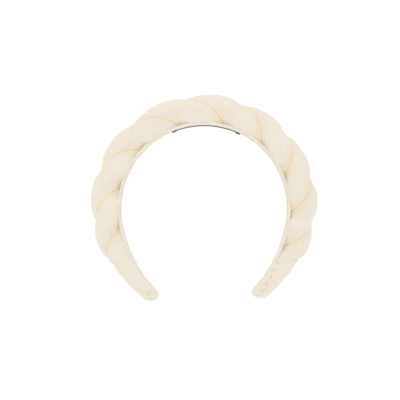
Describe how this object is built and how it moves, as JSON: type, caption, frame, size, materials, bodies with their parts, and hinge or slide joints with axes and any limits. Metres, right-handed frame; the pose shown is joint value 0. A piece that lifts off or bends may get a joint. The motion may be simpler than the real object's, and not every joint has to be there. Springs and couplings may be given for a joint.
{
  "type": "padded headband",
  "caption": "Padded twist headband: stuffed fabric rolls twisted round each other on a flexible covered hoop, with sewn tip sleeves and a blank woven label.",
  "frame": {"origin": "centre of the arc that the inner lining follows over the head, midway between the front and back edges", "axes": "+Z to the crown, X from ear to ear (+X on the right as seen from the front), +Y to the back of the head"},
  "size_m": [0.1793, 0.0292, 0.1608],
  "materials": {
    "core_plastic": "plain moulded plastic",
    "velour": "ivory short-pile velour",
    "lining": "ivory woven ribbon",
    "label_weave": "black woven satin, blank",
    "label_thread": "black polyester thread",
    "filling": "white polyester wadding",
    "sewing_thread": "cream polyester thread"
  },
  "bodies": {
    "root": {"core_band": "core_plastic", "band_cover": "velour", "inner_lining": "lining", "woven_label": "label_weave", "label_stitches": "label_thread", "roll_a_cover": "velour", "roll_a_filling": "filling", "roll_b_cover": "velour", "roll_b_filling": "filling", "left_tip_sleeve": "velour", "right_tip_sleeve": "velour", "front_tack_stitches": "sewing_thread", "rear_tack_stitches": "sewing_thread", "left_tip_stitches": "sewing_thread", "right_tip_stitches": "sewing_thread"}
  },
  "joints": []
}
